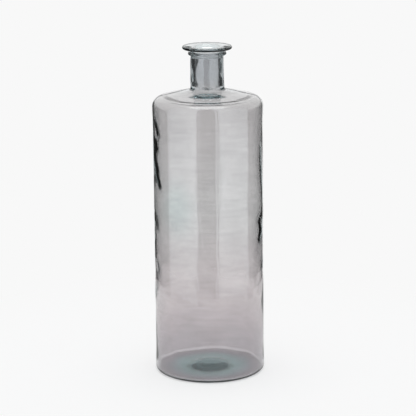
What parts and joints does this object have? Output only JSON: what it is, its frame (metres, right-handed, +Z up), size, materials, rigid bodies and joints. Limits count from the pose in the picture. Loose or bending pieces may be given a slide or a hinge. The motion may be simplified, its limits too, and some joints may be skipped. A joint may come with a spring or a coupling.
{
  "type": "bottle vase",
  "caption": "Tall bottle vase of clear smoke-tinted recycled glass: straight round body, low coned shoulder, short thick neck, beaded collar and flared flange lip.",
  "frame": {"origin": "on the vase's axis, in the plane that it stands on", "axes": "+Z up along the axis, from the base to the mouth; the vase is round, so X and Y are free"},
  "size_m": [0.25, 0.25, 0.75],
  "materials": {
    "tinted_glass": "clear recycled glass with a faint blue-green cast where it is thick, and a thin smoke-grey to mauve tint on the outside; glossy, slightly wavy"
  },
  "bodies": {
    "root": {"base": "tinted_glass", "body_wall": "tinted_glass", "shoulder": "tinted_glass", "neck": "tinted_glass", "string_ring": "tinted_glass", "lip": "tinted_glass"}
  },
  "joints": []
}
